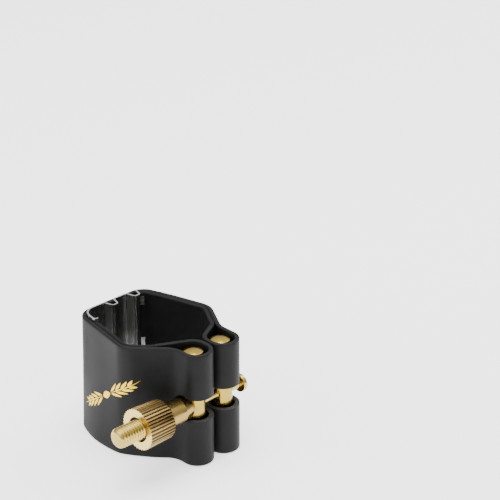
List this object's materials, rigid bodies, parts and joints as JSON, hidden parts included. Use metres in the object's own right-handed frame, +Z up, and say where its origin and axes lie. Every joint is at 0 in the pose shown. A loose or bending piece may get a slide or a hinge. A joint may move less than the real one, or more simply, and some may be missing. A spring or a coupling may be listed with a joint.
{
  "type": "saxophone ligature",
  "caption": "Leather band ligature that clamps a reed on a mouthpiece, with a looped post at each end, a ridged metal pressure plate and a single screw with a knurled thumb nut.",
  "frame": {"origin": "on the plane of the bottom rim, under the mouthpiece bore, midway between the two posts", "axes": "+X along the clamping screw from the thumb nut to the screw's head, +Y from the posts to the pressure plate, +Z up the mouthpiece bore"},
  "size_m": [0.0416, 0.037, 0.0297],
  "materials": {
    "band_leather": "smooth matt black with a soft sheen",
    "lining_leather": "fine grained matt black",
    "plate_nickel": "bright nickel plate",
    "post_brass": "polished lacquered brass",
    "screw_brass": "turned lacquered brass",
    "nut_brass": "polished face, knurled side, lacquered brass"
  },
  "bodies": {
    "band_back": {"outer_band_back": "band_leather", "lining_back": "lining_leather", "pressure_plate": "plate_nickel"},
    "near_arm": {"outer_band_near_arm": "band_leather", "lining_near_arm": "lining_leather"},
    "far_arm": {"outer_band_far_arm": "band_leather", "lining_far_arm": "lining_leather"},
    "near_post": {"near_post": "post_brass"},
    "far_post": {"far_post": "post_brass", "clamp_screw": "screw_brass", "screw_head": "screw_brass"},
    "thumb_nut": {"thumb_nut": "nut_brass"}
  },
  "joints": [
    {"name": "near_arm_bend", "type": "hinge", "parent": "band_back", "child": "near_arm", "pos_m": [-0.0109, 0.0073, 0.0145], "axis": [0, 0, -1], "range_deg": [0, 5.4]},
    {"name": "far_arm_bend", "type": "hinge", "parent": "band_back", "child": "far_arm", "pos_m": [0.0109, 0.0073, 0.0145], "axis": [0, 0, 1], "range_deg": [0, 5.4]},
    {"name": "near_post_turn", "type": "hinge", "parent": "near_arm", "child": "near_post", "pos_m": [-0.0042, -0.01775, 0.0146], "axis": [0, 0, 1], "range_deg": [0, 5.4]},
    {"name": "far_post_turn", "type": "hinge", "parent": "far_arm", "child": "far_post", "pos_m": [0.0042, -0.01775, 0.0146], "axis": [0, 0, -1], "range_deg": [0, 5.4]},
    {"name": "thumb_nut_spin", "type": "hinge", "parent": "near_post", "child": "thumb_nut", "pos_m": [-0.0142, -0.01775, 0.0146], "axis": [-1, 0, 0], "range_deg": [0, 2160]}
  ],
  "couplings": [
    {"joint": "near_arm_bend", "follows": "thumb_nut_spin", "ratio": 0.0024926},
    {"joint": "far_arm_bend", "follows": "thumb_nut_spin", "ratio": 0.0024926},
    {"joint": "near_post_turn", "follows": "thumb_nut_spin", "ratio": 0.0024926},
    {"joint": "far_post_turn", "follows": "thumb_nut_spin", "ratio": 0.0024926}
  ]
}
